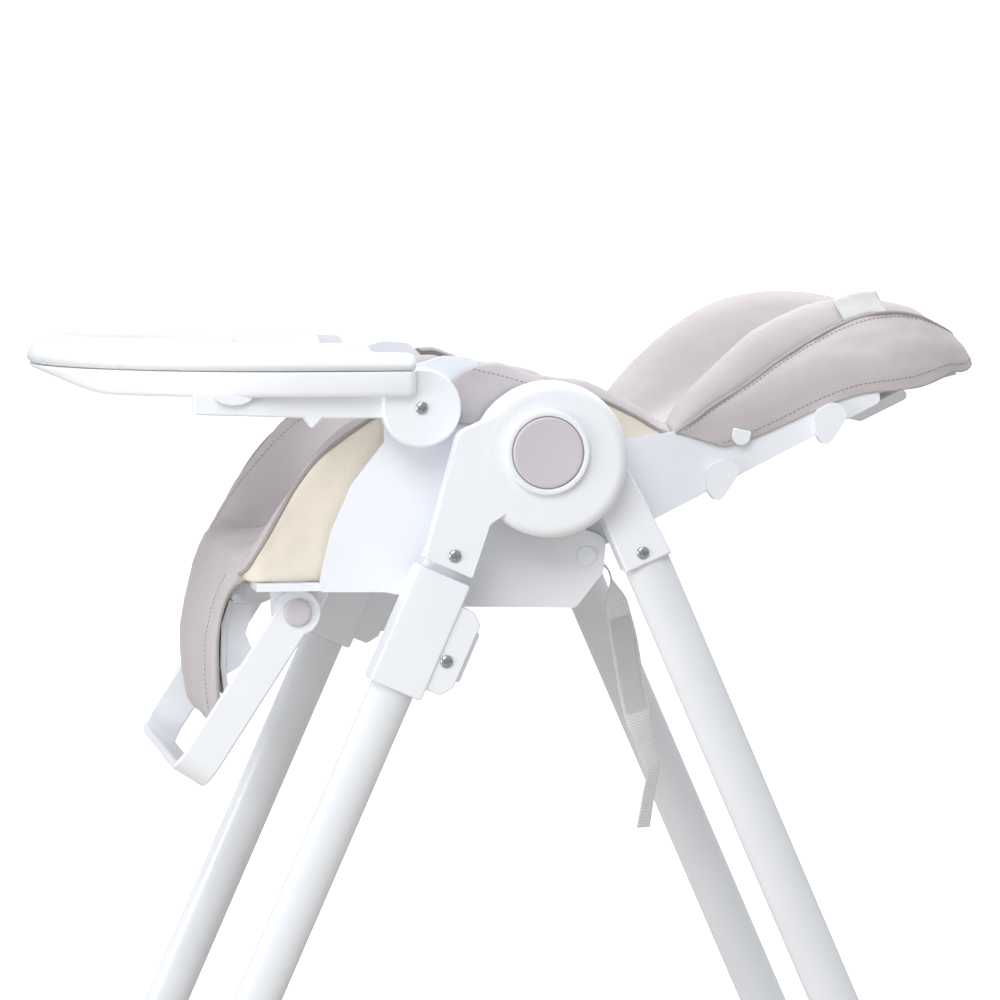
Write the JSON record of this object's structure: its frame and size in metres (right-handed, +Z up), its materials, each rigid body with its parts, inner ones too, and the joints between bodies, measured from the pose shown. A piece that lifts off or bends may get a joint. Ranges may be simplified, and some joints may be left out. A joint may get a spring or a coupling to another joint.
{
  "type": "baby high chair",
  "caption": "Folding baby high chair: tube A-frame with round fold hubs, sliding padded seat, reclining back, lift-up tray with a loose top, leg rest and footrest.",
  "frame": {"origin": "middle of the chair's footprint, on the floor", "axes": "+Z up; the child faces -Y; +X is the child's left"},
  "size_m": [0.545, 0.913, 0.8247],
  "materials": {
    "white_plastic": "satin injection-moulded white",
    "white_tube": "white powder coat",
    "taupe_plastic": "fine moulded texture",
    "taupe_leatherette": "soft grained imitation leather",
    "cream_leatherette": "soft grained imitation leather",
    "zinc_steel": "zinc plated",
    "grey_rubber": "matte",
    "webbing": "woven webbing",
    "buckle_plastic": "fine moulded texture"
  },
  "bodies": {
    "front_frame": {"front_leg_left": "white_tube", "front_leg_right": "white_tube", "front_hub_left": "white_plastic", "front_hub_right": "white_plastic", "hub_ring_left": "white_plastic", "hub_ring_right": "white_plastic", "hub_pin_left": "zinc_steel", "hub_pin_right": "zinc_steel", "front_socket_screw_left": "zinc_steel", "front_socket_screw_right": "zinc_steel", "front_foot_left": "white_plastic", "front_foot_right": "white_plastic", "front_foot_pad_left": "grey_rubber", "front_foot_pad_right": "grey_rubber", "front_cross_tube": "white_tube"},
    "rear_frame": {"rear_leg_left": "white_tube", "rear_leg_right": "white_tube", "rear_hub_left": "white_plastic", "rear_hub_right": "white_plastic", "rear_socket_screw_left": "zinc_steel", "rear_socket_screw_right": "zinc_steel", "rear_foot_left": "white_plastic", "rear_foot_right": "white_plastic", "rear_foot_pad_left": "grey_rubber", "rear_foot_pad_right": "grey_rubber", "rear_cross_tube": "white_tube"},
    "fold_button_left": {"fold_button_left": "taupe_plastic"},
    "fold_button_right": {"fold_button_right": "taupe_plastic"},
    "seat": {"seat_shell": "white_plastic", "height_slider_left": "white_plastic", "height_slider_right": "white_plastic", "slider_screw_left": "zinc_steel", "slider_screw_right": "zinc_steel", "seat_pad": "taupe_leatherette", "crotch_strap": "webbing", "lap_strap_left": "webbing", "lap_strap_right": "webbing", "buckle": "buckle_plastic", "label_strap": "webbing", "back_pin_left": "zinc_steel", "back_pin_right": "zinc_steel", "footrest_cap_left": "taupe_plastic", "footrest_cap_right": "taupe_plastic", "tray_hinge_screw_left": "zinc_steel", "tray_hinge_screw_right": "zinc_steel"},
    "height_button_left": {"height_button_left": "white_plastic"},
    "height_button_right": {"height_button_right": "white_plastic"},
    "leg_rest": {"leg_rest_plate": "white_plastic", "leg_rest_pad": "taupe_leatherette"},
    "footrest": {"footrest": "white_plastic"},
    "backrest": {"back_shell": "white_plastic", "back_pad": "taupe_leatherette"},
    "recline_handle": {"recline_handle": "white_plastic"},
    "tray_arms": {"tray_arm_left": "white_plastic", "tray_arm_right": "white_plastic"},
    "tray": {"tray_base": "white_plastic"},
    "tray_tab_left": {"tray_tab_left": "white_plastic"},
    "tray_tab_right": {"tray_tab_right": "white_plastic"},
    "tray_top": {"tray_top": "white_plastic"}
  },
  "joints": [
    {"name": "frame_fold", "type": "hinge", "parent": "front_frame", "child": "rear_frame", "pos_m": [0, 0.0165, 0.68], "axis": [-1, 0, 0], "range_deg": [0, 42]},
    {"name": "fold_button_left_press", "type": "slide", "parent": "front_frame", "child": "fold_button_left", "axis": [-1, 0, 0], "range_m": [0, 0.004], "stiffness_N_per_m": 800, "springref_m": -0.003},
    {"name": "fold_button_right_press", "type": "slide", "parent": "front_frame", "child": "fold_button_right", "axis": [1, 0, 0], "range_m": [0, 0.004], "stiffness_N_per_m": 800, "springref_m": -0.003},
    {"name": "seat_height", "type": "slide", "parent": "front_frame", "child": "seat", "axis": [0, -0.4035, -0.915], "range_m": [0, 0.25]},
    {"name": "height_button_left_press", "type": "slide", "parent": "seat", "child": "height_button_left", "axis": [0, -0.915, 0.4035], "range_m": [0, 0.004], "stiffness_N_per_m": 600, "springref_m": -0.003},
    {"name": "height_button_right_press", "type": "slide", "parent": "seat", "child": "height_button_right", "axis": [0, -0.915, 0.4035], "range_m": [0, 0.004], "stiffness_N_per_m": 600, "springref_m": -0.003},
    {"name": "back_recline", "type": "hinge", "parent": "seat", "child": "backrest", "pos_m": [0, 0.0605, 0.584], "axis": [1, 0, 0], "range_deg": [0, 50]},
    {"name": "recline_handle_squeeze", "type": "hinge", "parent": "backrest", "child": "recline_handle", "pos_m": [0, 0.35314, 0.71866], "axis": [1, 0, 0], "range_deg": [0, 6], "stiffness_Nm_per_rad": 2, "springref_deg": -5.73},
    {"name": "leg_rest_hinge", "type": "hinge", "parent": "seat", "child": "leg_rest", "pos_m": [0, -0.2645, 0.55], "axis": [-1, 0, 0], "range_deg": [0, 40]},
    {"name": "footrest_hinge", "type": "hinge", "parent": "seat", "child": "footrest", "pos_m": [0, -0.2135, 0.531], "axis": [-1, 0, 0], "range_deg": [-30, 20]},
    {"name": "tray_lift", "type": "hinge", "parent": "seat", "child": "tray_arms", "pos_m": [0, -0.1047, 0.7288], "axis": [-1, 0, 0], "range_deg": [0, 85]},
    {"name": "tray_slide", "type": "slide", "parent": "tray_arms", "child": "tray", "axis": [0, -1, 0], "range_m": [0, 0.05]},
    {"name": "tray_tab_left_pull", "type": "slide", "parent": "tray", "child": "tray_tab_left", "axis": [0, 0, -1], "range_m": [0, 0.004], "stiffness_N_per_m": 300, "springref_m": -0.003},
    {"name": "tray_tab_right_pull", "type": "slide", "parent": "tray", "child": "tray_tab_right", "axis": [0, 0, -1], "range_m": [0, 0.004], "stiffness_N_per_m": 300, "springref_m": -0.003},
    {"name": "tray_top_lift_off", "type": "slide", "parent": "tray", "child": "tray_top", "axis": [0, 0, 1], "range_m": [0, 0.05]}
  ]
}
